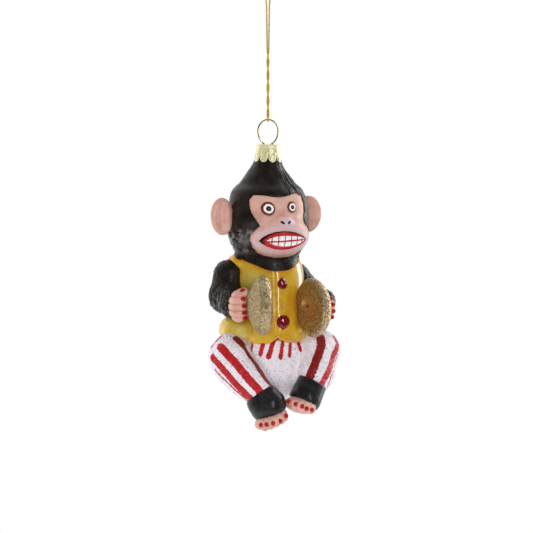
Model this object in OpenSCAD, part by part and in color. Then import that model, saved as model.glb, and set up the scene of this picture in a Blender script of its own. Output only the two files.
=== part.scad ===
// Hanging glass ornament: a seated monkey in a vest and striped trousers, with a pair of cymbals.
// Millimetres, +Z up. The figure faces -Y. The origin is the top of the hanging loop.
// Heights in this file count from the toes, and hung() lowers everything to the origin.

/* [Glass] */
// Thickness of the blown glass
glass_wall = 1.0; // [0.6:0.1:1.4]
// Width of the head between the ears
head_w = 34.6; // [32:0.2:36]
// Depth of the head from brow to back
head_d = 33; // [31:0.5:34]
// Width of the muzzle
muzzle_w = 29; // [26:0.5:31]
// Height of an ear
ear_h = 16.4; // [13:0.2:18]
// Width of the torso at the chest
torso_w = 31; // [29:0.5:33]
// Depth of the torso at the chest
torso_d = 28.5; // [27:0.5:29]
// Radius of a trouser leg at the knee
knee_r = 9.2; // [8.4:0.1:9.6]
// Radius of a sleeve at the elbow
elbow_r = 6.2; // [5.4:0.1:6.6]

/* [Cymbals] */
// Diameter of a cymbal
cymbal_d = 25.8; // [22:0.2:26]
// Diameter of the raised boss that the hand holds
boss_d = 13; // [11:0.5:14]
// Depth of a cymbal from the rim's front to the top of the boss
cymbal_h = 6; // [5:0.2:6.4]
// Thickness of the rounded rim
rim_t = 2.2; // [1.8:0.1:2.6]

/* [Buttons] */
// Width of the upper button
upper_button_w = 4.6; // [3.6:0.1:5.2]
// Width of the lower button
lower_button_w = 5.6; // [4.6:0.1:6.2]

/* [Crown cap] */
// Diameter of the flared skirt
cap_d = 12.5; // [12.2:0.1:13.5]
// Height of the cap
cap_h = 7.5; // [6.5:0.1:7.6]
// Thickness of the sheet metal
cap_t = 0.3; // [0.25:0.05:0.35]
// Number of scallops round the skirt
scallops = 9; // [8:1:12]
// Outside diameter of the glass neck inside the cap
neck_d = 8.4; // [7.8:0.1:8.8]

/* [Wire and thread] */
// Thickness of the spring wire
wire_d = 0.66; // [0.5:0.02:0.8]
// Outside width of the wire ring
ring_w = 9.16; // [8.4:0.02:10]
// Thickness of the thread
thread_d = 0.7; // [0.5:0.05:0.8]
// Height of the thread loop above the ring
loop_h = 63; // [50:1:80]

/* [Hidden] */

$fn = 48;
seam = 0.04;          // gap between two painted regions of the glass
proud = 0.5;          // how far teeth, lips, eyes and nails stand out of the glass
far = 60;             // longer than anything it cuts
sides_big = 24;       // points round the head, torso and seat
sides_limb = 20;      // points round an arm, leg or cuff

// colours
fur = [0.14, 0.11, 0.10];
skin = [0.85, 0.65, 0.57];
vest = [0.85, 0.66, 0.12];
white_glitter = [0.90, 0.87, 0.91];
gold_glitter = [0.66, 0.52, 0.22];
gem_red = [0.55, 0.05, 0.08];
paint_red = [0.72, 0.08, 0.11];
tooth_white = [0.95, 0.94, 0.92];
lacquer = [0.16, 0.15, 0.16];
cap_gold = [0.82, 0.81, 0.54];
wire_gold = [0.80, 0.66, 0.35];
thread_gold = [0.85, 0.70, 0.12];

// heights from the toes
cap_top = 122.6;
neck_bottom = 111.5;
ring_r = (ring_w - wire_d) / 2;          // centreline radius of the ring
ring_mid = cap_top + 2.05 + ring_r;      // centre of the ring's round part
wire_top = ring_mid + ring_r;            // centreline of the wire where the thread bears
loop_top = wire_top + loop_h;            // centreline of the thread at its top
origin_h = loop_top - thread_d / 2;      // underside of the loop's top, where a hook bears

ring_turn = -22;      // the hanger was put on turned by this angle
wire_in = 1.4;        // half the distance between the wires where they enter the cap
wire_out = 2.55;      // half the distance between the wires' ends inside the neck
wire_end = 113.2;     // height of the wires' ends
play = 0.06;          // thread round the wire, and wire in its holes
bend_more = 0.04;     // how much thicker the wire is where it was bent

// ---- placing -------------------------------------------------------------------------------

module hung() {
  translate([0, 0, -origin_h]) children();
}

// One closed mesh from a cut of several faceted solids
module one_mesh() {
  resize([0, 0, 0]) children();
}

// Both sides of something: -1 is the figure's own right, at -X
module mirrored(side) {
  scale([side, 1, 1]) children();
}

// ---- swept solids --------------------------------------------------------------------------

function unit(v) = v / norm(v);

// Catmull-Rom curve through the stations a, b, c, d, between b and c
function between(a, b, c, d, t) =
  0.5 * (2 * b + (c - a) * t + (2 * a - 5 * b + 4 * c - d) * t * t
         + (3 * b - a - 3 * c + d) * t * t * t);

function smooth(s, steps) = [
  for (i = [0:len(s) - 2], k = [0:steps - 1])
    between(s[max(i - 1, 0)], s[i], s[i + 1], s[min(i + 2, len(s) - 1)], k / steps),
  s[len(s) - 1]
];

function xyz(s) = [s[0], s[1], s[2]];

function heading(s, i) =
  unit(xyz(s[min(i + 1, len(s) - 1)]) - xyz(s[max(i - 1, 0)]));

// Points round one station [x, y, z, half width, half depth], square to the sweep
function ring(s, i, ref, n) =
  let (t = heading(s, i), side = unit(cross(ref, t)), front = cross(t, side))
  [for (k = [0:n - 1])
    xyz(s[i]) + s[i][3] * cos(360 * k / n) * side + s[i][4] * sin(360 * k / n) * front];

module skin_over(s, ref, n) {
  last = len(s) - 1;
  points = [for (i = [0:last]) each ring(s, i, ref, n)];
  sides = [
    for (i = [0:last - 1], k = [0:n - 1])
      let (a = i * n + k, b = i * n + (k + 1) % n)
      each [[a, a + n, b], [b, a + n, b + n]]
  ];
  ends = [[for (k = [0:n - 1]) k], [for (k = [n - 1:-1:0]) last * n + k]];
  polyhedron(points = points, faces = concat(sides, ends));
}

// An upright pod through the stations, narrower by shrink and shorter by it at both ends
module pod(stations, shrink = 0) {
  low = stations[0][2] + shrink;
  high = stations[len(stations) - 1][2] - shrink;
  kept = [
    for (s = smooth(stations, 2))
      if (shrink <= 0 || (s[2] > low && s[2] < high && min(s[3], s[4]) > shrink + 0.7))
        [s[0], s[1], s[2], s[3] - shrink, s[4] - shrink]
  ];
  skin_over(kept, [0, 1, 0], sides_big);
}

// ---- shapes of the figure ------------------------------------------------------------------

// Height, then half width and half depth as shares of the head's, from the chin to the crown
head_rows = [
  [70.5, 0.30, 0.28], [71.5, 0.55, 0.52], [74.5, 0.74, 0.72], [79, 0.92, 0.90], [84, 1.00, 0.99],
  [90, 0.99, 1.00], [96, 0.95, 0.96], [102, 0.89, 0.88], [106, 0.74, 0.74], [110, 0.52, 0.54],
  [113, 0.39, 0.41], [114.6, 0.31, 0.325], [115.4, 0.285, 0.295]
];

function head_stations() = [
  for (r = head_rows) [0, 0, r[0], r[1] * head_w / 2, r[2] * head_d / 2]
];

muzzle_at = [0, -11, 84.2];
muzzle_d = 23;
muzzle_h = 19.4;

module muzzle(shrink = 0) {
  size = [muzzle_w / 2 - shrink, muzzle_d / 2 - shrink, muzzle_h / 2 - shrink];
  translate(muzzle_at) scale(size) sphere(1, $fn = 28);
}

module head_outer(grow = 0) {
  pod(head_stations(), -grow);
  muzzle(-grow);
}

module head_hollow() {
  pod(head_stations(), glass_wall);
  muzzle(glass_wall);
  translate([0, 0, neck_bottom]) cylinder(h = far, d = neck_d + 2 * seam);
}

torso_rows = [
  [37.2, 0.80, 0.80], [38.2, 0.98, 0.98], [41, 1.12, 1.10], [46, 1.10, 1.10], [52, 1.03, 1.04],
  [60, 1.00, 1.00], [66, 0.95, 0.93], [70, 0.86, 0.82], [73, 0.70, 0.66], [74, 0.50, 0.48]
];

function torso_stations() = [
  for (r = torso_rows) [0, 0, r[0], r[1] * torso_w / 2, r[2] * torso_d / 2]
];

module torso_outer(grow = 0) {
  pod(torso_stations(), -grow);
}

seat_stations = [
  [0, -1, 12.6, 4, 4], [0, -1, 13.6, 8, 8], [0, -1, 17, 12.6, 12.2], [0, -1, 23, 16, 15],
  [0, -0.5, 31, 17, 15.5], [0, 0, 38, 15.6, 14.4], [0, 0, 40, 13, 12]
];

module seat_outer(grow = 0) {
  pod(seat_stations, -grow);
}

// A round limb from one ball [x, y, z, r] to the next
module limb(balls, grow = 0) {
  for (i = [0:len(balls) - 2])
    hull()
      for (b = [balls[i], balls[i + 1]])
        translate(xyz(b)) sphere(b[3] + grow, $fn = sides_limb);
}

// Shoulder, elbow and wrist of an arm at +X
arm_balls = [
  [15.4, 1.2, 67.4, 0.92 * elbow_r], [20.7, -0.6, 56, elbow_r], [20.3, -11.5, 55, 0.9 * elbow_r]
];

module arm_outer(side, grow = 0) {
  mirrored(side) limb(arm_balls, grow);
}

hand_at = [20.3, -17.2, 55.2];
hand_size = [4.3, 4.6, 7.2];

module hand_outer(side, grow = 0) {
  mirrored(side) translate(hand_at) scale(hand_size + grow * [1, 1, 1]) sphere(1, $fn = 20);
}

// Hip, knee, shin and ankle of each leg, and the two ends of its cuff. The figure's own right leg,
// at -X, hangs lower than the left.
function leg_balls(side) = side < 0
  ? [[-8, -2, 31.4, 8.6], [-22.6, -10, 34.6, knee_r], [-16.6, -15.2, 24.2, 0.9 * knee_r],
     [-12.4, -18.4, 19, 0.8 * knee_r]]
  : [[8, -2, 31, 8.6], [20.1, -10, 33.4, knee_r], [16, -14.2, 25.6, 0.88 * knee_r],
     [13.2, -17.4, 21, 0.74 * knee_r]];

function cuff_balls(side) = side < 0
  ? [[-10.8, -19.6, 15.8, 7.6], [-8.8, -21.4, 12, 7.4]]
  : [[12.2, -18.4, 19, 6.5], [9.4, -20.6, 15, 6.4]];

module leg_outer(side, grow = 0) {
  limb(leg_balls(side), grow);
}

module cuff_outer(side, grow = 0) {
  limb(cuff_balls(side), grow);
}

// Keeps the hollows of a leg, its cuff and its foot joined, as they are in one blown bubble
module hollow_way(side) {
  legs = leg_balls(side);
  cuffs = cuff_balls(side);
  limb([concat(xyz(legs[2]), 2), concat(xyz(cuffs[0]), 2), concat(foot_at(side), 2)]);
}

function foot_at(side) = side < 0 ? [-8.8, -24, 6.6] : [5.4, -23.6, 11.2];
function foot_size(side) = side < 0 ? [7.7, 6.2, 4.2] : [6.7, 6, 3.9];
function foot_tilt(side) = side < 0 ? -2 : 14;

module foot_outer(side, grow = 0) {
  translate(foot_at(side)) rotate([0, foot_tilt(side), 0])
    scale(foot_size(side) + grow * [1, 1, 1]) sphere(1, $fn = 20);
}

// ---- hanger, cap and thread ----------------------------------------------------------------

module rod(from, to, d) {
  way = to - from;
  translate(from)
    rotate([0, acos(way[2] / norm(way)), atan2(way[1], way[0])])
      cylinder(h = norm(way), d = d, $fn = 64);
}

module bend(at) {
  translate(at) sphere(d = wire_d + bend_more, $fn = 32);
}

// The ring's straight sides touch its round part at this angle
hole_way = [wire_in, cap_top - ring_mid];
touch = atan2(hole_way[1], hole_way[0]) + acos(ring_r / norm(hole_way));

module wire_hanger() {
  color(wire_gold) hung() rotate([0, 0, ring_turn]) {
    translate([0, 0, ring_mid]) rotate([90, 0, 0]) rotate([0, 0, touch])
      rotate_extrude(angle = 180 - 2 * touch, $fn = 96) translate([ring_r, 0]) circle(d = wire_d, $fn = 64);
    for (side = [-1, 1]) {
      shoulder = [side * ring_r * cos(touch), 0, ring_mid + ring_r * sin(touch)];
      hole = [side * wire_in, 0, cap_top - cap_t / 2];
      end = [side * wire_out, 0, wire_end];
      rod(shoulder, hole, wire_d);
      bend(shoulder);
      rod(hole, end, wire_d);
      bend(hole);
    }
  }
}

module crown_cap() {
  top_r = 0.41 * cap_d;
  bottom = cap_top - cap_h;
  color(cap_gold) hung() difference() {
    rotate_extrude($fn = 72) polygon([
      [0, cap_top], [top_r - 0.5, cap_top], [top_r - 0.15, cap_top - 0.15], [top_r, cap_top - 0.5],
      [top_r + 0.15, cap_top - 0.6 * cap_h], [cap_d / 2, bottom], [cap_d / 2 - cap_t, bottom],
      [top_r + 0.15 - cap_t, cap_top - 0.6 * cap_h], [top_r - cap_t, cap_top - 0.5],
      [top_r - 0.55, cap_top - cap_t], [0, cap_top - cap_t]
    ]);
    for (i = [0:scallops - 1])
      rotate([0, 0, (i + 0.5) * 360 / scallops]) translate([0.3 * cap_d, 0, bottom - 0.2])
        rotate([0, 90, 0]) cylinder(h = far, r = 1.1, $fn = 32);
    for (side = [-1, 1])
      rotate([0, 0, ring_turn]) translate([side * wire_in, 0, cap_top - 2])
        cylinder(h = 4, r = wire_d / 2 + 3 * play, $fn = 32);
  }
}

module glass_neck() {
  lip = cap_top - cap_t - 0.15;
  r = neck_d / 2;
  color("lightgrey") hung() rotate_extrude($fn = 72) polygon([
    [r - glass_wall, neck_bottom], [r, neck_bottom], [r, lip - 0.3], [r - 0.3, lip],
    [r - glass_wall, lip]
  ]);
}

// The two strands from the ring to the top: [height above the wire, half the gap, turn in degrees]
strand_rows = [[0.15, 0.73, 90], [2, 0.5, 150], [30, 0.46, 1080], [48, 0.7, 1080], [58, 1.4, 1080]];
strand_steps = [1, 15, 6, 4];
loop_r = 1.6;         // half the gap at the loop's rounded top

function strand_at(row, next, t) = row + (next - row) * t;

function strand_side(from_ring) = [
  for (i = [0:len(strand_rows) - 2], k = [0:strand_steps[i] - 1])
    let (s = strand_at(strand_rows[i], strand_rows[i + 1], k / strand_steps[i]),
         turn = s[2] + from_ring)
    [s[1] * cos(turn), s[1] * sin(turn), wire_top + s[0] * loop_h / 63]
];

loop_round = [
  for (w = [0:30:180])
    [loop_r * cos(w), 0, loop_top - loop_r + loop_r * sin(w)]
];

function reversed(list) = [for (i = [len(list) - 1:-1:0]) list[i]];

thread_route = concat(strand_side(0), loop_round, reversed(strand_side(180)));

module hanging_thread() {
  stations = [for (p = thread_route) [p[0], p[1], p[2], thread_d / 2, thread_d / 2]];
  color(thread_gold) hung() rotate([0, 0, ring_turn]) skin_over(stations, [0, 1, 0], 8);
}

bight_r = wire_d / 2 + play + thread_d / 2;

module thread_bight() {
  color(thread_gold) hung() rotate([0, 0, ring_turn]) translate([0, 0, wire_top])
    rotate([0, 90, 0]) rotate([0, 0, -45])
      rotate_extrude(angle = 90, $fn = 48) translate([bight_r, 0]) circle(d = thread_d, $fn = 24);
}

knot_up = 58.6;       // height of the knot above the wire
knot_r = 1.15;

module thread_knot() {
  bore = thread_d / 2 + play;
  color(thread_gold) hung() rotate([0, 0, ring_turn])
    translate([1.44, 0, wire_top + knot_up * loop_h / 63]) rotate([0, 4, 0]) {
      rotate_extrude($fn = 48) polygon([
        [bore, -1], [knot_r - 0.25, -1], [knot_r, -0.6], [knot_r, 0.6], [knot_r - 0.25, 1], [bore, 1]
      ]);
      for (tilt = [70, 100])
        rotate([0, tilt, 0]) translate([0, 0, knot_r - 0.3]) cylinder(h = 3.2, d = thread_d, $fn = 24);
    }
}

// ---- head ----------------------------------------------------------------------------------

// The painted face seen from the front: brow lobes round both eyes over the muzzle
module face_outline() {
  for (side = [-1, 1])
    translate([side * 5.4, 95.5]) scale([1, 1.08]) circle(6.1);
  translate([0, 94]) square([10, 9], center = true);
  translate([0, 84.2]) scale([1, 0.68]) circle(14.9);
}

module face_cutter(grow = 0) {
  translate([0, -4, 0]) rotate([90, 0, 0]) linear_extrude(height = far)
    offset(delta = grow) face_outline();
}

module head_shell() {
  color(fur) hung() one_mesh() difference() {
    head_outer();
    head_hollow();
    face_cutter(seam);
  }
}

module face_mask() {
  color(skin) hung() one_mesh() intersection() {
    difference() {
      head_outer();
      head_hollow();
    }
    face_cutter();
  }
}

mouth_at = [0, 82.8];

// A thin layer of the muzzle's own shape, standing proud of it
module proud_layer(height) {
  intersection() {
    difference() {
      muzzle(-height);
      head_outer(seam);
    }
    translate([0, -8, 0]) rotate([90, 0, 0]) linear_extrude(height = far) children();
  }
}

module mouth_outline(grow) {
  translate(mouth_at) scale([11.6 + grow, 4 + grow]) circle(1);
}

module lips() {
  color(paint_red) hung() one_mesh() proud_layer(proud) difference() {
    mouth_outline(0);
    mouth_outline(-1.5);
  }
}

teeth_a_row = 7;
tooth_w = 2.3;

module teeth() {
  color(tooth_white) hung() one_mesh() proud_layer(proud - 0.1)
    intersection() {
      mouth_outline(-1.6);
      for (i = [0:teeth_a_row - 1], row = [-1, 1])
        translate([mouth_at[0] + (i - (teeth_a_row - 1) / 2) * (tooth_w + 0.3), mouth_at[1] + row * 1.3])
          square([tooth_w, 2.2], center = true);
    }
}

eye_at = [5.4, 95.3];
eye_r = 2.9;

module eye(side) {
  color(tooth_white) hung() one_mesh() intersection() {
    difference() {
      pod(head_stations(), -proud - 0.1);
      head_outer(seam);
    }
    translate([side * eye_at[0], 0, eye_at[1]]) rotate([90, 0, 0])
      cylinder(h = far, r = eye_r, $fn = 32);
  }
}

module ear(side) {
  color(skin) hung() mirrored(side) one_mesh() difference() {
    translate([21.2, 1, 92.6]) rotate([0, 6, -22]) scale([5.6, 2.6, ear_h / 2]) sphere(1, $fn = 24);
    translate([21.9, -2.2, 92.4]) rotate([0, 6, -22]) scale([3.9, 2.6, 0.37 * ear_h]) sphere(1, $fn = 20);
    head_outer(seam);
  }
}

// ---- body ----------------------------------------------------------------------------------

// The room that a cymbal's disc takes, with so much space round it
module cymbal_room(side, space) {
  placed_cymbal(side) translate([0, 0, -0.42 * cymbal_h - space])
    cylinder(h = 0.42 * cymbal_h + 2 * space, r = cymbal_d / 2 + space);
}

// The glass is pressed in where a cymbal's edge comes close, and keeps its thickness there
module torso_shell() {
  color(vest) hung() one_mesh() difference() {
    torso_outer();
    difference() {
      torso_outer(-glass_wall);
      for (side = [-1, 1]) cymbal_room(side, glass_wall + 0.1);
    }
    for (side = [-1, 1]) cymbal_room(side, 0.1);
    head_outer(seam);
  }
}

// A gem with a girdle, its flat back against the vest
module button(w, at, stretch) {
  color(gem_red) hung() translate(at) rotate([90, 0, 0]) {
    rotate_extrude($fn = 48) polygon([
      [0, 0], [w / 2, 0], [w / 2, 0.5], [0.42 * w, 1.1], [0.26 * w, 1.6], [0, 1.8]
    ]);
    translate([0, 0.3 * w, 0]) cylinder(h = 0.7, r1 = stretch * w, r2 = 0.5 * stretch * w);
  }
}

module upper_button() {
  button(upper_button_w, [0.8, -0.985 * torso_d / 2 - 0.16, 63.6], 0.26);
}

module lower_button() {
  button(lower_button_w, [0.3, -1.09 * torso_d / 2 - 0.3, 47.6], 0.3);
}

module arm(side) {
  color(fur) hung() one_mesh() difference() {
    arm_outer(side);
    arm_outer(side, -glass_wall);
    torso_outer(seam);
    head_outer(seam);
  }
}

module hand(side) {
  color(skin) hung() one_mesh() difference() {
    hand_outer(side);
    arm_outer(side, seam);
    placed_cymbal(side) cymbal_body(2 * seam);
  }
}

// Dished disc: the boss points to -Z and the hollow opens to +Z
module cymbal_body(grow = 0) {
  r = cymbal_d / 2 + grow;
  b = boss_d / 2;
  h = cymbal_h;
  g = grow;
  rotate_extrude($fn = 64) polygon([
    [0, -h - g], [0.55 * b, -h - g], [0.85 * b + g, -0.88 * h - g], [b + g, -0.55 * h],
    [1.15 * b, -0.42 * h - g], [r - 1.6, -rim_t - g], [r - 0.5, -rim_t + 0.3], [r, -rim_t / 2],
    [r - 0.4, -0.2], [r - 1.1, g], [r - 2.2, -0.5 + g], [1.15 * b, -0.24 * h + g],
    [b - 0.6, -0.38 * h + g], [0.78 * b - 0.4, -0.68 * h + g], [0.5 * b, -0.76 * h + g],
    [0, -0.76 * h + g]
  ]);
}

// Centre of the rim's front, and how far the cymbals are turned open towards the front
function cymbal_at(side) = side < 0 ? [-10.1, -24, 56] : [10, -22.4, 54];
function cymbal_open(side) = side < 0 ? 14 : 9;

module placed_cymbal(side) {
  translate(cymbal_at(side)) rotate([0, 0, side * cymbal_open(side)]) rotate([0, -side * 90, 0])
    children();
}

module cymbal(side) {
  color(gold_glitter) hung() placed_cymbal(side) cymbal_body();
}

fingers = 5;

module finger_nails() {
  color(paint_red) hung() one_mesh() difference() {
    for (side = [-1, 1], i = [0:fingers - 1])
      mirrored(side) translate([18.5, -21, 60.4 - 2.6 * i]) rotate([0, 0, -25])
        scale([1.2, 0.9, 0.9]) sphere(1, $fn = 8);
    for (side = [-1, 1]) {
      hand_outer(side, seam);
      placed_cymbal(side) cymbal_body(2 * seam);
    }
  }
}

// ---- trousers and feet ---------------------------------------------------------------------

module trouser_seat() {
  color(white_glitter) hung() one_mesh() difference() {
    seat_outer();
    seat_outer(-glass_wall);
    torso_outer(seam);
  }
}

module leg(side) {
  color(white_glitter) hung() one_mesh() difference() {
    leg_outer(side);
    leg_outer(side, -glass_wall);
    seat_outer(seam);
    torso_outer(seam);
    cuff_outer(side, seam);
    hollow_way(side);
  }
}

module cuff(side) {
  color(lacquer) hung() one_mesh() difference() {
    cuff_outer(side);
    cuff_outer(side, -glass_wall);
    seat_outer(seam);
    hollow_way(side);
  }
}

module foot(side) {
  color(skin) hung() one_mesh() difference() {
    foot_outer(side);
    foot_outer(side, -glass_wall);
    cuff_outer(side, seam);
    hollow_way(side);
  }
}

toes = 5;

module toe_nails() {
  color(paint_red) hung() one_mesh() difference() {
    for (side = [-1, 1], i = [0:toes - 1])
      let (turn = 28 * (i - 2), size = foot_size(side))
      translate(foot_at(side)) rotate([0, foot_tilt(side), 0])
        translate([size[0] * sin(turn), -size[1] * cos(turn), 0.8])
          scale([1.2, 0.9, 0.9]) sphere(1, $fn = 8);
    for (side = [-1, 1]) foot_outer(side, seam);
  }
}

crown_cap();
wire_hanger();
hanging_thread();
thread_bight();
thread_knot();
glass_neck();
head_shell();
face_mask();
lips();
teeth();
eye(-1);  // left_eye
eye(1);  // right_eye
ear(-1);  // left_ear
ear(1);  // right_ear
torso_shell();
upper_button();
lower_button();
arm(-1);  // left_arm
arm(1);  // right_arm
hand(-1);  // left_hand
hand(1);  // right_hand
cymbal(-1);  // left_cymbal
cymbal(1);  // right_cymbal
finger_nails();
trouser_seat();
leg(-1);  // left_leg
leg(1);  // right_leg
cuff(-1);  // left_cuff
cuff(1);  // right_cuff
foot(-1);  // left_foot
foot(1);  // right_foot
toe_nails();
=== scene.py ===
"""Looks of the hanging glass monkey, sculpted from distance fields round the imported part."""
import math

import bpy
import numpy as np
import openvdb
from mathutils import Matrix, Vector


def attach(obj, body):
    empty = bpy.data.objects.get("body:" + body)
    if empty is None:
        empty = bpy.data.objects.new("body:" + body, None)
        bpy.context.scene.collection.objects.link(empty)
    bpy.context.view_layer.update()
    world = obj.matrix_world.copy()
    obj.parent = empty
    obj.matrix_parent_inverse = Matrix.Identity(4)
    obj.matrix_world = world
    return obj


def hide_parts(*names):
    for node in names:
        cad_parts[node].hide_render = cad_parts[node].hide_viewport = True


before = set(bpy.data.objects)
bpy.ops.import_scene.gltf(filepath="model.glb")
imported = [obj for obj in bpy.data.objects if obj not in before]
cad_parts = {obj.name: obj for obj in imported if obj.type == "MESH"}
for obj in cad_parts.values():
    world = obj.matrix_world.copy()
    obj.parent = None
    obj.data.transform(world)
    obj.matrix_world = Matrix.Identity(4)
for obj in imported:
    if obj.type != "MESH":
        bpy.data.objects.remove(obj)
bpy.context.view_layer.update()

MM = 0.001
TOE_TO_ORIGIN = 195.8   # mm from the toes up to the hanging loop's top, the part's origin

# ---- distance fields, in mm, heights counted from the toes ----


def smin(a, b, k):
    """The union of two fields, rounded over k mm."""
    h = np.clip(0.5 + 0.5 * (b - a) / k, 0, 1)
    return b * (1 - h) + a * h - k * h * (1 - h)


def smax(a, b, k):
    return -smin(-a, -b, k)


def step(x, lo, hi):
    """0 below lo and 1 above hi, smooth between them."""
    t = np.clip((x - lo) / (hi - lo), 0, 1)
    return t * t * (3 - 2 * t)


def turned(p, angles):
    """p in the axes of something turned by angles (degrees about X, then Y, then Z)."""
    x, y, z = p
    for axis, a in ((2, angles[2]), (1, angles[1]), (0, angles[0])):
        c, s = math.cos(math.radians(a)), math.sin(math.radians(a))
        if axis == 2:
            x, y = c * x + s * y, -s * x + c * y
        elif axis == 1:
            x, z = c * x - s * z, s * x + c * z
        else:
            y, z = c * y + s * z, -s * y + c * z
    return x, y, z


def ellipsoid(p, at, size, angles=(0, 0, 0)):
    q = (p[0] - at[0], p[1] - at[1], p[2] - at[2])
    if any(angles):
        q = turned(q, angles)
    k0 = np.sqrt(sum((a / r) ** 2 for a, r in zip(q, size)))
    k1 = np.sqrt(sum((a / r ** 2) ** 2 for a, r in zip(q, size)))
    return k0 * (k0 - 1) / np.maximum(k1, 1e-6)


def along(p, a, b):
    """Share of the way from a to b, and the distance from that line."""
    d = [b[i] - a[i] for i in range(3)]
    t = sum((p[i] - a[i]) * d[i] for i in range(3)) / sum(v * v for v in d)
    t = np.clip(t, 0, 1)
    return t, np.sqrt(sum((p[i] - a[i] - t * d[i]) ** 2 for i in range(3)))


def limb(p, balls, k):
    """A chain of balls [x, y, z, radius] joined by cones."""
    out = None
    for a, b in zip(balls, balls[1:]):
        t, away = along(p, a, b)
        d = away - (a[3] + (b[3] - a[3]) * t)
        out = d if out is None else smin(out, d, k)
    return out


def spline(rows, n=12):
    """Catmull-Rom through the rows, n steps between each two."""
    rows = np.array(rows, float)
    out = []
    for i in range(len(rows) - 1):
        a, b = rows[max(i - 1, 0)], rows[i]
        c, d = rows[i + 1], rows[min(i + 2, len(rows) - 1)]
        for t in np.arange(n) / n:
            out.append(0.5 * (2 * b + (c - a) * t + (2 * a - 5 * b + 4 * c - d) * t * t
                              + (3 * b - a - 3 * c + d) * t ** 3))
    out.append(rows[-1])
    return np.array(out)


def pod(p, table):
    """Upright body with rows [height, half width, half depth, centre y]."""
    x, y, z = p
    rx, ry, cy = (np.interp(z, table[:, 0], table[:, i]) for i in (1, 2, 3))
    slope = np.gradient(table[:, 1], table[:, 0])
    lean = 1 / np.sqrt(1 + np.interp(z, table[:, 0], slope) ** 2)
    q = np.sqrt((x / rx) ** 2 + ((y - cy) / ry) ** 2)
    d = (q - 1) * np.minimum(rx, ry) * lean
    return smax(d, np.maximum(z - table[-1, 0], table[0, 0] - z), 1.0)


def polygon(u, v, points):
    """Signed distance to a closed outline, below zero inside."""
    d = np.full(u.shape, 1e9, np.float32)
    inside = np.zeros(u.shape, bool)
    for (ax, ay), (bx, by) in zip(points, points[1:] + points[:1]):
        ex, ey = bx - ax, by - ay
        wx, wy = u - ax, v - ay
        t = np.clip((wx * ex + wy * ey) / (ex * ex + ey * ey + 1e-12), 0, 1)
        d = np.minimum(d, (wx - t * ex) ** 2 + (wy - t * ey) ** 2)
        crossing = (ay > v) != (by > v)
        inside ^= crossing & (u < ex * (v - ay) / (ey if ey else 1e-12) + ax)
    return np.where(inside, -1, 1) * np.sqrt(d)


def track(p, points):
    """Distance from a polyline in space."""
    return np.min([along(p, a, b)[1] for a, b in zip(points, points[1:])], axis=0)


# Random values that repeat every 32 cells
RANDOM = np.random.RandomState(5).rand(32, 32, 32).astype(np.float32) * 2 - 1
WRAP = 31


def noise(x, y, z):
    """Smooth value noise from -1 to 1, with a feature about every unit."""
    cells, parts = [], []
    for v in (x, y, z):
        f = np.floor(v)
        t = (v - f).astype(np.float32)
        cells.append(f.astype(np.int32))
        parts.append(t * t * (3 - 2 * t))
    out = 0
    for corner in np.ndindex(2, 2, 2):
        share = 1
        for part, n in zip(parts, corner):
            share = share * (part if n else 1 - part)
        out = out + share * RANDOM[tuple((c + n) & WRAP for c, n in zip(cells, corner))]
    return out


def grain(p, size):
    """Noise with a feature about every size mm."""
    return noise(*(v / size for v in p))


# ---- head ----


def upright(width, depth, rows):
    """A table for pod; rows have the height and the shares of the width and depth there."""
    return spline([[z, w * width / 2, d * depth / 2, 0] for z, w, d in rows])


HEAD = upright(34.6, 33, [
    [66, .50, .46], [70, .60, .55], [73, .68, .64], [76, .77, .76], [79, .87, .87], [84, .985, .99],
    [90, .99, 1.00], [96, .95, .96], [102, .875, .87], [106, .665, .67], [110, .495, .51],
    [113, .38, .39], [115.6, .31, .325], [117.5, .27, .28],
])


def skull(p):
    """The head with its muzzle; the crown leans a little to the left."""
    lean = .5 * step(p[2], 96, 105) * (1 - step(p[2], 111, 116.5))
    d = pod((p[0] + lean, p[1], p[2]), HEAD)
    muzzle = ellipsoid(p, (-.5, -11, 84.4), (14.1, 11.5, 9.6))
    return smin(d, muzzle, 2.4)


# ---- body ----

TORSO = upright(31, 28.5, [
    [36.6, .93, .93], [38.2, 1.06, 1.05], [41, 1.12, 1.10], [46, 1.10, 1.10], [52, 1.03, 1.04],
    [60, 1.00, 1.00], [66, .99, .96], [70, .94, .90], [73, .87, .82], [75.6, .76, .68], [77.4, .56, .50],
])
SEAT = spline([[12.2, 4, 4, -1], [13.6, 8, 8, -1], [17, 12.6, 12.2, -1], [23, 16, 15, -1],
               [31, 17, 15.5, -.5], [38, 15.6, 14.4, 0], [41, 13, 12, 0]])


def torso(p):
    strap = ellipsoid(p, (-13.2, 1, 72.4), (4.4, 5.4, 3.2))
    bulge = ellipsoid(p, (-15.9, -4.2, 43.7), (7.2, 9, 6.7))
    return smin(smin(pod(p, TORSO), strap, 1.5), bulge, 3)


# Each side's balls from the body outwards, -1 for left and 1 for right
ARMS = {
    -1: [(-18.2, 1, 67.4, 5.9), (-20.0, -.6, 57.8, 6.3), (-20.0, -11.5, 55.4, 6)],
    1: [(13.2, .8, 65.2, 6), (19.4, -.4, 56.5, 6.2), (20.3, -11.5, 55, 5.8)],
}
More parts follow.
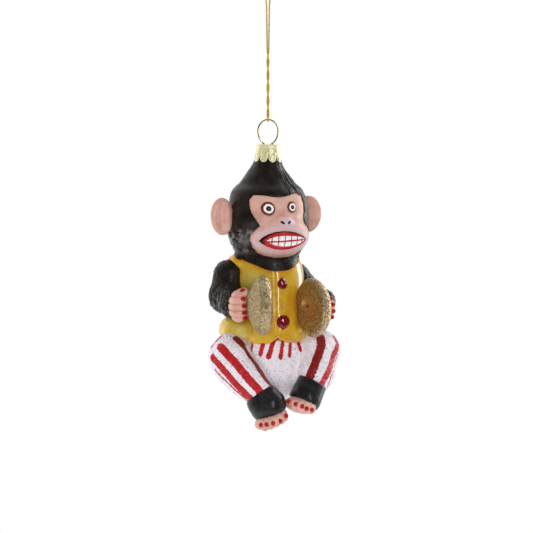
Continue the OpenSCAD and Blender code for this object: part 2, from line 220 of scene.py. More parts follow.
# Place and half sizes
HANDS = {
    -1: ((-20.3, -17.2, 55.4), (4.3, 4.6, 6.9)),
    1: ((19.8, -17.2, 53), (3.9, 4.4, 5.8)),
}
LEGS = {
    -1: [(-8, -2, 30.6, 8.4), (-20.2, -8.6, 35.6, 7.2), (-22.2, -11, 33.1, 8.2),
         (-20.2, -12.5, 28.9, 7.8), (-16.1, -15.5, 24.3, 7.7), (-12.4, -18.2, 19.6, 6.6)],
    1: [(8, -2, 31, 8.6), (19.6, -10, 33.6, 8.7), (16, -14.2, 25.6, 8.1), (13.2, -17.4, 21, 6.8)],
}
CUFFS = {
    -1: [(-9.7, -20.2, 14.9, 7.5), (-8.7, -20.9, 13.4, 7.8)],
    1: [(12.6, -18.6, 21.2, 6.4), (8.6, -21, 15.2, 6.8)],
}
# Place, half sizes and tilt to the right
FEET = {
    -1: ((-8.1, -23.5, 7.6), (7.5, 6.2, 3.5), -22),
    1: ((5.2, -23.4, 12.9), (6.9, 6, 3.5), 15),
}


def arm(p, side):
    return limb(p, ARMS[side], 3)


def trousers(p):
    d = pod(p, SEAT)
    for side in (-1, 1):
        d = smin(d, limb(p, LEGS[side], 3), 2.5)
    return d


# ---- painted regions ----

# Outlines across the front, (x, height)
FACE = [
    (-11.0, 101.6), (-9.3, 101.5), (-7.1, 101.4), (-4.8, 101.0), (-2.8, 100.7), (-.1, 100.7),
    (2.8, 101.1), (5.4, 101.8), (8.4, 102.2), (10.7, 100.9), (12.0, 98.2), (12.0, 95.0), (11.3, 92),
    (10.6, 89.2), (12.4, 87.6), (14.2, 85.0), (14.5, 82.4), (13.4, 79.6), (11.2, 77.2), (8.2, 75.6),
    (2.3, 75.0), (-2.2, 74.9), (-7.0, 75.8), (-10.1, 77.1), (-12.8, 79.7), (-14.1, 82.4),
    (-14.1, 84.6), (-12.6, 87.2), (-10.6, 88.9), (-11.1, 91.6), (-12.2, 94.5), (-12.6, 97.4),
    (-12.5, 99.5),
]
MOUTH = [
    (-11.5, 82.7), (-10.4, 84.2), (-8.2, 85.6), (-5.5, 86.5), (-2.1, 86.9), (1.0, 86.7), (4.3, 86.0),
    (7.5, 84.7), (9.9, 83.2), (8.6, 81.7), (5.2, 80.1), (1.7, 79.1), (-1.9, 78.8), (-5.3, 79.2),
    (-8.2, 80.3), (-10.4, 81.6),
]
TEETH = [
    (-9.2, 82.9), (-7.5, 84.1), (-5.2, 84.9), (-2.7, 85.1), (0, 85.1), (2.8, 84.9), (6.2, 84.4),
    (9.3, 83.2), (8.3, 82.2), (6.2, 81.2), (3.5, 80.4), (.4, 80.1), (-2.2, 80.1), (-4.8, 80.5),
    (-7.3, 81.4),
]
TOOTH_GAPS = (-6.8, -4.1, -1.3, 1.6, 4.5, 7.0)
# Each eye's place, and its size against the left one
EYES = {-1: (-5.8, 96.0, 1), 1: (5.0, 96.4, .82)}
EYE_R = 2.85


def face_region(p):
    """Below zero within the bare face."""
    return np.maximum(polygon(p[0], p[2], FACE), p[1] + 4)


def neckline(p):
    """Height of the vest's upper edge: low in front, rising to the sides."""
    return 69.3 + 5.8 * (1 - np.exp(-np.maximum(p[1] + 12.9, 0) / 6.5)) + 1.3 * step(p[1], -5, 0)


def curls(p, size, width):
    """Engraved curly strokes: 1 in a stroke, 0 between them."""
    return np.exp(-(grain(p, size) / width) ** 2)


def hair(p):
    x, y, z = p
    d = smin(skull(p), torso(p) + .25, 2)
    d = smax(d, neckline(p) - 1.6 - z, .3)
    round_head = np.arctan2(x, -y) * 15   # mm along the head's girth
    strands = noise(round_head / .95 + 2 * grain(p, 6), z / 9, y * 0 + 3)
    fine = noise(round_head / .5, z / 5, y * 0 + 9)
    clear = step(face_region(p), .5, 2.5)
    crown = step(x, -1, 8) * step(z, 90, 98)
    back = step(y, 2, 8) * .7
    tufts = curls((x, y, z * .8), 2.8, .13) * step(np.abs(x), 8, 12) * (1 - step(z, 84, 91))
    d = d - .45 - np.maximum(crown, back) * (.34 * strands + .14 * fine)
    d = d - .10 * grain(p, 3) + .85 * clear * tufts * step(z, 70, 76)
    return smax(d, -face_region(p), .25)


def face(p):
    """The skull with a nose, and shallow sockets round the eyes."""
    x, y, z = p
    nose = ellipsoid(p, (0, -17.5, 90.6), (3.6, 3.4, 2.6))
    d = smin(skull(p), nose, 1.6)
    for side in (-1, 1):
        ex, ez, _ = EYES[side]
        d = d + .5 * np.exp(-(((x - ex) / 3.4) ** 2 + ((z - ez) / 3.2) ** 2)) * (y < 0)
    return np.maximum(d, face_region(p) - 1.2)


def lips(p):
    x, y, z = p
    outer = polygon(x, z, MOUTH)
    inner = polygon(x, z, TEETH)
    d = skull(p) - .35 + .3 * (1 - step(inner, 0, .5))
    return smax(smax(d, outer, .35), y + 12, .1)


def teeth(p):
    """Two rows, parted by upright gaps and a wavy line between the rows."""
    x, y, z = p
    middle = 82.62 + .25 * np.sin((x + 1) / 5)
    gaps = np.minimum.reduce([np.abs(x - g) for g in TOOTH_GAPS] + [np.abs(z - middle) - .08])
    outline = np.maximum(polygon(x, z, TEETH) + .2, .22 - gaps)
    return smax(smax(skull(p) - .5, outline, .4), y + 12, .1)


def eye_radius(p, side):
    """Distance from the eye's middle, in mm of the left eye."""
    ex, ez, size = EYES[side]
    return np.sqrt((p[0] - ex) ** 2 + (p[2] - ez) ** 2) / size


def eye(p, side):
    away = eye_radius(p, side)
    d = skull(p) + .05 - .5 * np.sqrt(np.maximum(1 - (away / EYE_R) ** 2, 0))
    return smax(smax(d, away - EYE_R, .2), p[1] + 8, .1)


# Distance from the middle, place in depth, half width, and turn about an upright axis
EARS = {-1: (21.2, -.5, 5.5, -8), 1: (18.9, 1, 5.9, -22)}


def ear(p, side):
    """An oval, hollowed in front, with a fold next to the head."""
    q = (p[0] * side, p[1], p[2])
    at, back, half, turn = EARS[side]
    tilt = (0, 4, turn)
    d = ellipsoid(q, (at, back, 92.2), (half, 2.7, 8.0), tilt)
    dish = ellipsoid(q, (at - .2, back - 3.9, 92), (half - .9, 3.0, 7.1), tilt)
    d = smax(d, -dish, 1.8)
    fold = ellipsoid(q, (at - 1.9, back - 1.5, 92), (1.5, 1.2, 5.2), tilt)
    return smin(d, fold, 1.8)


def vest(p):
    """The torso with a ridge and a groove down its front, cut at hem, neckline, sleeves and head."""
    x, y, z = p
    d = torso(p) - .4
    ridge = np.exp(-((x + 1.1) / 1.4) ** 2) * (y < -5) * step(z, 40, 46)
    groove = np.exp(-((x + 2.6) / .6) ** 2) * (y < -5) * step(z, 39, 44)
    d = d - .1 * ridge + .08 * groove
    d = d - .25 * noise(x / 7, y / 7, z / 6) * (1 - step(z, 52, 60))
    notch = 2.2 * np.exp(-((x + 2) / 1.9) ** 2) + .9 * np.exp(-((x - 1) / 2) ** 2)
    hem = 38.4 + 1.8 * step(-x, 12.5, 16.5) + notch * (y < 0) + .3 * noise(x / 1.3, y / 1.3, z * 0)
    d = smax(d, hem - z, 1.1)
    d = smax(d, z - neckline(p), .5)
    for side in (-1, 1):
        d = smax(d, -(arm(p, side) - .3), .5)
    return smax(d, -(skull(p) - .1), .3)


def sleeve(p, side):
    d = arm(p, side)
    low = 1 - step(p[2], 58, 66)
    d = d - .2 + .5 * curls((p[0], p[1], p[2] * .8), 1.45, .17) * (.3 + .7 * low)
    return d - .1 * noise(p[0] / .7, p[1] / .7, p[2] / 1.6)


FINGER = 2.85   # from one groove between fingers to the next
# Height of the top groove, how many there are, and where the painted shade in the grooves starts
GROOVES = {-1: (59.6, 4, 58), 1: (56.4, 3, 57.8)}


def mitt(p, side):
    """A hand with grooves between its fingers and a thumb on top."""
    d = ellipsoid(p, *HANDS[side])
    top, count, _ = GROOVES[side]
    for i in range(count):
        d = d + .42 * np.exp(-((p[2] - top + FINGER * i) / .42) ** 2)
    thumb = ellipsoid((p[0] * side, p[1], p[2]), (18.2, -17.5, top + 1.4), (2.4, 3.4, 2.2))
    return smin(d, thumb, 1)


def finger_groove_shade(p, side):
    """Painted shade: redder, darker skin in the grooves between the fingers."""
    start = GROOVES[side][2]
    gap = (p[2] - start) % FINGER - FINGER / 2
    return .5 * np.exp(-(gap / .5) ** 2)


# Centre of each rim's front and the turn towards the viewer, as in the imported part
CYMBALS = {-1: ((-10.1, -24, 56), 14), 1: ((10, -22.4, 54), 9)}
# From the boss round the rim to the middle of the face, [radius, height over the rim]
CYMBAL = [
    (-2, -8.4), (3.6, -8.3), (5.6, -7.5), (7.4, -6.4), (9.6, -5.4), (11.2, -4.4), (12.2, -3.1),
    (12.5, -1.8), (12.2, -.6), (11.4, .2), (10.2, .7), (7, 1.2), (-2, 1.4),
]
RIGHT_BACK = .8   # how deep the right cymbal's back is against the left one's


def in_cymbal(p, side):
    at, opened = CYMBALS[side]
    return turned([p[i] - at[i] for i in range(3)], (0, 0, side * opened))


def cymbal_axes(p, side):
    """Distance from a cymbal's axis, and height over its rim towards the open side."""
    x, y, z = in_cymbal(p, side)
    return np.sqrt(y * y + z * z), -side * x


def hollow(p, side):
    """The dimple in the middle of a cymbal's face."""
    return ellipsoid(in_cymbal(p, side), (-side * 1.4, -.4, .2), (2.3, 5.4, 4.3))


def cymbal(p, side):
    r, w = cymbal_axes(p, side)
    if side > 0:
        w = np.minimum(w, 0) / RIGHT_BACK + np.maximum(w, 0)
    d = smax(polygon(r, w, CYMBAL) - .12, -hollow(p, side), .5)
    return d - .07 * grain(p, .5)


# Below and above each cuff: the plane's upward normal and a point on it
CUFF_EDGES = {
    -1: [((-.5, .2, .84), (-6.5, -21.5, 8.2)), ((-.5, .5, .7), (-9.5, -18.5, 26))],
    1: [((.514, 0, .866), (7.4, -21.5, 13.3)), ((.50, .06, .864), (12.8, -18.3, 22))],
}


def cuff_piece(p, side):
    """Black between two planes: the foot comes out below the first, the leg above the second."""
    (low, at_low), (high, at_high) = CUFF_EDGES[side]
    under = sum((at_low[i] - p[i]) * low[i] for i in range(3))
    over = sum((p[i] - at_high[i]) * high[i] for i in range(3))
    return smax(smax(limb(p, CUFFS[side], 1) - .1, under, .4), over, .5)


def toed_foot(p, side):
    """A foot with five toes in a fan."""
    at, size, tilt = FEET[side]
    d = ellipsoid(p, at, size, (0, tilt, 0))
    q = turned([p[i] - at[i] for i in range(3)], (0, tilt, 0))
    for i in range(5):
        a = math.radians(26 * (i - 2))
        tip = ((size[0] - 1.5) * math.sin(a), -(size[1] - 1.3) * math.cos(a), -.2)
        d = smin(d, ellipsoid(q, tip, (1.75, 1.9, 2.5)), .4)
    return d


# ---- stripes and small things on the trousers, feet and hands ----

NUDGE = .05   # mm, the step for a field's slope


def seated(points, field):
    """The points moved onto the field's surface."""
    out = []
    for point in points:
        p = np.array(point, float)
        for _ in range(4):
            d = field(p[:, None])[0]
            ahead = [field((p + way * NUDGE)[:, None])[0] for way in np.eye(3)]
            slope = (np.array(ahead) - d) / NUDGE
            p = p - d * slope / (slope ** 2).sum()
        out.append(tuple(p))
    return out


# [half width, points along the stripe], all in mm
DEEP_STRIPES = 3   # so many of the first ones are a deeper red
STRIPES = [
    [1.3, [(-20, -15.2, 41.5), (-17.5, -17.4, 37), (-14.8, -18.7, 33), (-12.9, -22, 29),
           (-10.1, -22.7, 25), (-6.6, -21.5, 20)]],
    [1.9, [(17.7, -16, 40.5), (17.2, -18.3, 37.5), (15.2, -19.7, 33.5), (12.4, -21.5, 29),
           (9.9, -22.4, 24.5)]],
    [2, [(-20, -15.2, 41.5), (-18.6, -16.6, 39.2)]],
    [1.75, [(-28.4, -15.8, 39), (-26.5, -19.3, 36), (-23.6, -21, 32.5), (-20.7, -22.9, 28.5),
            (-17.8, -24.5, 24.5), (-15.1, -25.2, 21.5), (-12.8, -25.5, 18.5)]],
    [1.6, [(-32.6, -14, 34), (-30.5, -17.4, 31), (-27.7, -19.4, 27.5), (-24.8, -21, 23.5),
           (-21.8, -22.5, 20), (-18.8, -23, 17), (-16.2, -23.5, 14.5)]],
    [.5, [(-30.7, -14.2, 28), (-28.4, -16.4, 25), (-25, -18.5, 21.5), (-21.8, -20.2, 18.5),
          (-18, -20.6, 14.5)]],
    [.8, [(-25.5, -9.5, 42.5), (-28.5, -10.5, 40.5), (-30.6, -10.4, 38.3)]],
    [1.5, [(24.6, -14.5, 39.5), (25.4, -16, 37), (23, -18.8, 33.5), (20.4, -21.2, 29), (16.9, -23.3, 24),
           (14.9, -24, 21.5)]],
    [.35, [(25, -18, 33), (23, -19.3, 29), (20, -21.8, 24), (18.3, -21.7, 19)]],
    [.7, [(-11.7, -12, 38.5), (-13, -14, 36)]],
    [.95, [(-7, -12.2, 39), (-9, -13.5, 34)]],
    [1.15, [(-2.3, -12.6, 40), (-5.8, -14.8, 33)]],
    [1, [(1.4, -12.9, 40), (-.7, -15.8, 32.5)]],
    [.85, [(4.8, -13.1, 39), (3.7, -15.3, 33)]],
    [.75, [(8.9, -11.7, 39), (9.4, -13.8, 35)]],
]
STRIPES = [[half, seated(points, trousers)] for half, points in STRIPES]
# Short stripes under the hem, round both sides to the back
for turn in range(62, 165, 14):
    for a in (math.radians(turn), math.radians(-turn)):
        STRIPES.append([1, [(14.8 * math.sin(a), -13.6 * math.cos(a), 40),
                            (16.6 * math.sin(a), -15.2 * math.cos(a), 34)]])


def around(balls, angle):
    """Points along a leg's surface, angle degrees round it from its front."""
    turn = math.radians(angle)
    out = []
    for a, b in zip(balls, balls[1:]):
        d = np.subtract(b[:3], a[:3])
        d = d / np.linalg.norm(d)
        front = np.array((0, -1.0, 0)) - d * -d[1]
        front = front / np.linalg.norm(front)
        outward = front * math.cos(turn) + np.cross(d, front) * math.sin(turn)
        out.append(tuple(np.array(b[:3]) + b[3] * outward))
    return out


# Long stripes on the backs of the legs
for side in (-1, 1):
    for angle in (120, 160, 200):
        STRIPES.append([1.2, around(LEGS[side], angle if side > 0 else -angle)])


def stripe(p, chosen):
    return np.minimum.reduce([track(p, pts) - half for half, pts in chosen])


FINGER_NAILS = [
    (-19.4, -19.6, 62.3), (-19.8, -21.1, 58.8), (-19.6, -21.7, 55.8), (-19.3, -21.4, 52.9),
    (-18.4, -20, 50.5), (20.6, -19.9, 57.4), (21.4, -21.2, 54.9), (21.4, -21.2, 52), (21, -20.2, 49.5),
]
TOE_NAILS = [
    (-14.2, -27.3, 6.1), (-12.2, -28.8, 6.4), (-9.7, -29.6, 6.9), (-6.5, -29.7, 7.6), (-3.4, -28, 9.4),
    (-.2, -25.3, 14.7), (1.4, -28, 14.1), (3.6, -29.4, 13.3), (5.5, -30, 12.3), (8.2, -29.5, 11.5),
]
FINGER_NAILS = seated(FINGER_NAILS, lambda p: np.minimum(mitt(p, -1), mitt(p, 1)))
TOE_NAILS = seated(TOE_NAILS, lambda p: np.minimum(toed_foot(p, -1), toed_foot(p, 1)))


def dots(p, places, size):
    return np.minimum.reduce([ellipsoid(p, c, size) for c in places])


# ---- meshes ----

BLOCK = 8   # cells along a block's edge


def box_points(steps):
    """Flat x, y and z of every point of a box of steps."""
    return [v.ravel().astype(np.float32) for v in np.meshgrid(*steps, indexing="ij")]


def sampled(f, lo, hi, h):
    """The field on a grid, worked out in full only in the blocks near the surface."""
    count = [max(1, math.ceil((hi[i] - lo[i]) / h / BLOCK)) for i in range(3)]
    centres = box_points([lo[i] + (np.arange(count[i]) + .5) * BLOCK * h for i in range(3)])
    middle = f(centres)
    grid = np.clip(middle, -2 * h, 2 * h).reshape(count)
    for axis in range(3):
        grid = np.repeat(grid, BLOCK, axis)
    grid = grid.astype(np.float32)
    reach = BLOCK * h * 1.25 + .8   # half a block's diagonal and more, as fields bend
    near = np.flatnonzero(np.abs(middle) < reach)
    offsets = box_points([(np.arange(BLOCK) + .5 - BLOCK / 2) * h] * 3)
    p = [(c[near, None] + o).ravel() for c, o in zip(centres, offsets)]
    values = f(p).reshape(-1, BLOCK, BLOCK, BLOCK)
    blocks = np.stack(np.unravel_index(near, count), 1) * BLOCK
    for (i, j, k), v in zip(blocks, values):
        grid[i:i + BLOCK, j:j + BLOCK, k:k + BLOCK] = v
    return grid


def solid_mesh(name, points, quads, tris=()):
    """A mesh object from points in figure mm."""
    points = np.asarray(points, np.float64)
    world = points * MM - np.array([0, 0, TOE_TO_ORIGIN * MM])
    faces = [np.asarray(quads, np.int64).reshape(-1, 4), np.asarray(tris, np.int64).reshape(-1, 3)]
    volume = sum(np.einsum("ij,ij->", points[f[:, 0]],
                           np.cross(points[f[:, k]], points[f[:, k + 1]]))
                 for f in faces for k in range(1, f.shape[1] - 1) if len(f))
    if volume < 0:
        faces = [f[:, ::-1] for f in faces]
    mesh = bpy.data.meshes.new(name)
    mesh.vertices.add(len(world))
    mesh.vertices.foreach_set("co", world.astype(np.float32).ravel())
    corners = np.concatenate([f.ravel() for f in faces])
    sizes = np.concatenate([np.full(len(f), f.shape[1]) for f in faces])
    mesh.loops.add(len(corners))
    mesh.loops.foreach_set("vertex_index", corners.astype(np.int32))
    mesh.polygons.add(len(sizes))
    mesh.polygons.foreach_set("loop_start", (np.cumsum(sizes) - sizes).astype(np.int32))
    mesh.polygons.foreach_set("use_smooth", np.ones(len(sizes), bool))
    mesh.update(calc_edges=True)
    mesh.validate()
    obj = bpy.data.objects.new(name, mesh)
    bpy.context.scene.collection.objects.link(obj)
    return obj


def room(at, half):
    """Two corners of the box with that middle and those half sizes."""
    return [a - b for a, b in zip(at, half)], [a + b for a, b in zip(at, half)]


def finished(obj, body, nodes, paint):
    """The object with its body, the nodes it stands for and its paint."""
    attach(obj, body)
    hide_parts(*nodes)
    obj.data.materials.clear()
    obj.data.materials.append(paint)
    return obj


def sculpt(name, f, lo, hi, h, nodes, slot, paint, marks=None, body="figure"):
    """A piece from a field in the box lo to hi, on a grid of h mm, with a value for each mark."""
    grid = sampled(f, lo, hi, h)
    volume = openvdb.FloatGrid(2 * h)
    volume.copyFromArray(grid)
    points, tris, quads = volume.convertToPolygons(isovalue=0.0, adaptivity=0.0)
    points = points.astype(np.float64) * h + (np.array(lo) + .5 * h)
    p = points.T
    d = f(p)
    slope = np.stack([(f([p[i] + (NUDGE if i == k else 0) for i in range(3)]) - d) / NUDGE
                      for k in range(3)], 1)
    # Onto the surface along the slope, by less than half a cell
    move = d / np.maximum((slope ** 2).sum(1), .2)
    points = points - np.clip(move, -.4 * h, .4 * h)[:, None] * slope
    obj = solid_mesh(name, points, quads, tris)
    p = points.T.astype(np.float32)
    for mark, g in (marks or {}).items():
        layer = obj.data.attributes.new(mark, "FLOAT", "POINT")
        layer.data.foreach_set("value", np.asarray(g(p), np.float32))
    return finished(obj, body, nodes, paint)


def lengths(path):
    """How far along the path each of its points is."""
    return np.concatenate([[0], np.cumsum(np.linalg.norm(np.diff(path, axis=0), axis=1))])


def tube(name, path, radius, sides, plies=0, twist=0.0, bump=0.0):
    """A closed rod along the path: round, or laid as plies twisted once every twist mm."""
    path = np.array(path, float)
    way = np.gradient(path, axis=0)
    way /= np.linalg.norm(way, axis=1)[:, None]
    far = lengths(path)
    ref = np.cross(way[0], (0, 0, 1) if abs(way[0][2]) < .9 else (0, 1, 0))
    rings = []
    for i, (c, t) in enumerate(zip(path, way)):
        ref = ref - t * ref.dot(t)
        ref /= np.linalg.norm(ref)
        other = np.cross(t, ref)
        a = np.arange(sides) * 2 * math.pi / sides
        r = np.full(sides, float(radius))
        if plies:
            turn = plies * a - 2 * math.pi * plies * far[i] / twist
            r = radius * (1 - bump * (.5 - .5 * np.cos(turn)))
        rings.append(c + r[:, None] * (np.cos(a)[:, None] * ref + np.sin(a)[:, None] * other))
    points = np.concatenate(rings + [path[:1], path[-1:]])
    n, last = len(path), sides * len(path)
    quads = [(i * sides + k, i * sides + (k + 1) % sides, (i + 1) * sides + (k + 1) % sides,
              (i + 1) * sides + k) for i in range(n - 1) for k in range(sides)]
    tris = [(last, (k + 1) % sides, k) for k in range(sides)]
    tris += [(last + 1, (n - 1) * sides + k, (n - 1) * sides + (k + 1) % sides) for k in range(sides)]
    return solid_mesh(name, points, quads, tris)


# ---- camera ----

AZIMUTH, ELEVATION, DISTANCE = math.radians(-22), math.radians(5), .95
AIM_RIGHT, AIM_HEIGHT = -.00065, 70.1   # m to the right of the axis, mm above the toes
camera = bpy.data.objects.new("camera", bpy.data.cameras.new("camera"))
bpy.context.scene.collection.objects.link(camera)
bpy.context.scene.camera = camera


def towards(azimuth, elevation):
    """The direction from the part towards something, angles in radians, 0 in front."""
    return Vector((math.sin(azimuth) * math.cos(elevation), -math.cos(azimuth) * math.cos(elevation),
                   math.sin(elevation)))


look_back = towards(AZIMUTH, ELEVATION)
look_right = Vector((math.cos(AZIMUTH), math.sin(AZIMUTH), 0))
aim = look_right * AIM_RIGHT + Vector((0, 0, (AIM_HEIGHT - TOE_TO_ORIGIN) * MM))
camera.location = aim + look_back * DISTANCE
camera.rotation_euler = look_back.to_track_quat("Z", "Y").to_euler()
camera.data.lens = 149.2
camera.data.sensor_width = 36
camera.data.clip_end = 20

# ---- paints ----


class Nodes:
    """A node tree built node by node."""

    def __init__(self, tree):
        self.tree = tree
        self.tree.nodes.clear()

    def add(self, kind, sockets=None, **props):
        """A node, with a value or a link for each of the sockets."""
        n = self.tree.nodes.new("ShaderNode" + kind)
        for key, value in props.items():
            setattr(n, key, value)
        for key, value in (sockets or {}).items():
            if isinstance(value, bpy.types.NodeSocket):
                self.tree.links.new(value, n.inputs[key])
            else:
                n.inputs[key].default_value = value
        return n

    def math(self, operation, a, b=0.0):
        return self.add("Math", {0: a, 1: b}, operation=operation).outputs[0]

    def vector(self, operation, sockets, output=0):
        return self.add("VectorMath", sockets, operation=operation).outputs[output]

    def between(self, value, lo, hi, out_lo=0.0, out_hi=1.0):
        return self.add("MapRange", {"Value": value, "From Min": lo, "From Max": hi,
                                     "To Min": out_lo, "To Max": out_hi},
                        interpolation_type="SMOOTHSTEP").outputs[0]


class Paint(Nodes):
    """A material for pieces and the floor."""

    def __init__(self, name):
        self.material = bpy.data.materials.new(name)
        self.material.use_nodes = True
        super().__init__(self.material.node_tree)
        self.place = self.add("TexCoord").outputs["Object"]

    def mark(self, name):
        """A value stored at the piece's points, 0 where the piece has no such value."""
        return self.add("Attribute", attribute_name=name).outputs["Fac"]

    def noise(self, mm, detail=3.0, rough=.55, stretch=None):
        place = self.place
        if stretch:
            place = self.add("Mapping", {"Vector": place, "Scale": stretch}).outputs[0]
        n = self.add("TexNoise", {"Vector": place, "Scale": 1 / MM / mm, "Detail": detail,
                                  "Roughness": rough})
        return n.outputs["Fac"]

    def cells(self, mm, output="Color"):
        n = self.add("TexVoronoi", {"Vector": self.place, "Scale": 1 / MM / mm})
        return n.outputs[output]

    def clouds(self, mm, lo, hi, out_lo=0.0, out_hi=1.0, detail=3.0, rough=.55):
        """Noise of that size, with lo to hi drawn out to out_lo to out_hi."""
        return self.between(self.noise(mm, detail, rough), lo, hi, out_lo, out_hi)

    def mix(self, share, a, b):
        n = self.add("Mix", {0: share}, data_type="RGBA")
        for i, c in ((6, a), (7, b)):
            if isinstance(c, bpy.types.NodeSocket):
                self.tree.links.new(c, n.inputs[i])
            else:
                n.inputs[i].default_value = (*c, 1)
        return n.outputs[2]

    def bump(self, height, mm, strength):
        n = self.add("Bump", {"Height": height, "Distance": mm * MM, "Strength": strength})
        return n.outputs[0]

    def flakes(self, cells, tilt):
        """Each cell's flake leans its own way."""
        lean = self.vector("SUBTRACT", {0: cells, 1: (.5, .5, .5)})
        lean = self.vector("SCALE", {0: lean, "Scale": tilt})
        normal = self.add("NewGeometry").outputs["Normal"]
        return self.vector("NORMALIZE", {0: self.vector("ADD", {0: normal, 1: lean})})

    def red(self, colour):
        return self.add("SeparateColor", {0: colour}).outputs[0]

    def shader(self, colour, **sockets):
        names = {k.replace("_", " "): v for k, v in sockets.items()}
        s = self.add("BsdfPrincipled", {"Base Color": colour, **names})
        out = self.add("OutputMaterial")
        self.tree.links.new(s.outputs[0], out.inputs[0])
        return self.material


def plain_paint(name, one, other, clouds, rough, bumps, depth, strength, **sockets):
    """Two colours in clouds, on small bumps depth mm high."""
    m = Paint(name)
    colour = m.mix(m.clouds(*clouds), one, other)
    if isinstance(rough, tuple):
        rough = m.clouds(*rough)
    return m.shader(colour, Roughness=rough, Normal=m.bump(m.noise(*bumps), depth, strength), **sockets)


def fur_paint():
    m = Paint("fur_glaze")
    colour = m.mix(m.clouds(5, .35, .7), (.010, .007, .006), (.024, .018, .015))
    # Pale grey in this mark: painted highlights on the cheeks' tufts and the sleeves' curls, and thin
    # black paint on the cheeks.
    colour = m.mix(m.mark("wear_and_sheen"), colour, (.30, .29, .27))
    return m.shader(colour, Roughness=m.clouds(2.2, .35, .7, .26, .46),
                    Normal=m.bump(m.noise(.55, 4, .6), .12, .5), Specular_IOR_Level=.28)


def skin_paint():
    m = Paint("skin_paint")
    colour = m.mix(m.clouds(4, .42, .68, detail=4, rough=.6), (.70, .415, .335), (.61, .315, .255))
    # Lilac painted highlights round the mouth and on the nose bump.
    colour = m.mix(m.mark("lilac_highlight"), colour, (.66, .47, .53))
    # Redder, darker skin: painted shade in the finger grooves and in the ears next to the head.
    colour = m.mix(m.mark("reddish_shade"), colour, (.52, .22, .17))
    specks = m.clouds(.9, .74, .8, detail=2, rough=.5)
    colour = m.mix(m.math("MULTIPLY", specks, .35), colour, (.30, .13, .09))
    colour = m.mix(m.mark("black"), colour, (.006, .005, .005))
    return m.shader(colour, Roughness=m.clouds(1.5, .3, .7, .32, .5),
                    Normal=m.bump(m.noise(.5, 4, .6), .05, .5), Specular_IOR_Level=.35)


def lip_paint():
    m = Paint("lip_paint")
    colour = m.mix(m.clouds(1.2, .4, .7), (.50, .008, .014), (.36, .005, .010))
    colour = m.mix(m.between(m.mark("line"), -.1, .1), colour, (.006, .005, .005))
    return m.shader(colour, Roughness=.3, Normal=m.bump(m.noise(.6), .06, .4), Specular_IOR_Level=.35)


def eye_paint():
    """Rings round the middle: white, black and red-brown outwards, black and a grey glint inwards."""
    m = Paint("eye_paint")
    r = m.math("ADD", m.mark("away"), m.clouds(.9, .2, .8, -.1, .1, detail=2))
    colour = m.mix(m.between(r, 2.5, 2.65), (.24, .035, .02), (.008, .006, .006))
    colour = m.mix(m.between(r, 1.88, 2.0), (.93, .91, .91), colour)
    colour = m.mix(m.between(r, 1.02, 1.14), (.006, .006, .006), colour)
    colour = m.mix(m.between(m.mark("glint"), .30, .42), (.13, .13, .14), colour)
    return m.shader(colour, Roughness=.3, Normal=m.bump(m.noise(.6, 2), .04, .4), Specular_IOR_Level=.35)


def vest_paint():
    m = Paint("vest_glaze")
    colour = m.mix(m.clouds(5.5, .35, .62, detail=4, rough=.6), (.62, .29, .012), (.70, .44, .022))
    pearl_and_highlight = m.between(m.noise(7, 5, .65, stretch=(1.3, 1, .8)), .56, .74)
    # Pale pearly clouds, joined with the painted highlights on the bulge and the left of the chest.
    pearl_and_highlight = m.math("MAXIMUM", m.math("MULTIPLY", pearl_and_highlight, .6), m.mark("milk_and_highlight"))
    colour = m.mix(pearl_and_highlight, colour, (.70, .60, .14))
    colour = m.mix(m.between(m.mark("edge"), 0, 1.6), (.66, .27, .008), colour)
    few = m.math("GREATER_THAN", m.red(m.cells(1.7)), .86)
    spot = m.math("MULTIPLY", m.between(m.cells(1.7, "Distance"), .07, .12, 1, 0), few)
    colour = m.mix(spot, colour, (.16, .07, .01))
    return m.shader(colour, Roughness=m.clouds(3, .35, .65, .16, .34), Metallic=.1,
                    Normal=m.bump(m.noise(2.4, 4, .55), .16, .5), Coat_Weight=.8, Coat_Roughness=.06)


def trouser_paint():
    m = Paint("glitter_white")
    cells = m.cells(.42)
    tint = m.mix(.2, (.86, .82, .87), cells)
    base = m.mix(m.clouds(3, .35, .7), (.90, .85, .92), (.82, .76, .85))
    pick = m.red(cells)
    colour = m.mix(m.between(pick, .68, .80), base, tint)
    colour = m.mix(m.math("MULTIPLY", m.between(pick, .965, .975), .7), colour, (.18, .14, .15))
    band = m.math("ADD", m.mark("stripe"), m.clouds(1.1, .2, .8, -.3, .3, detail=4, rough=.7))
    streak = m.between(m.noise(.8, 3, .6, stretch=(1, 1, .35)), .35, .7)
    brush = m.mix(streak, (.56, .012, .018), (.34, .006, .010))
    brush = m.mix(m.math("MULTIPLY", m.mark("deep"), .7), brush, (.14, .006, .005))
    colour = m.mix(m.between(band, -.12, .12, 1, 0), colour, brush)
    return m.shader(colour, Roughness=m.between(pick, .5, .9, .5, .3), Normal=m.flakes(cells, .8),
                    Specular_IOR_Level=.4)


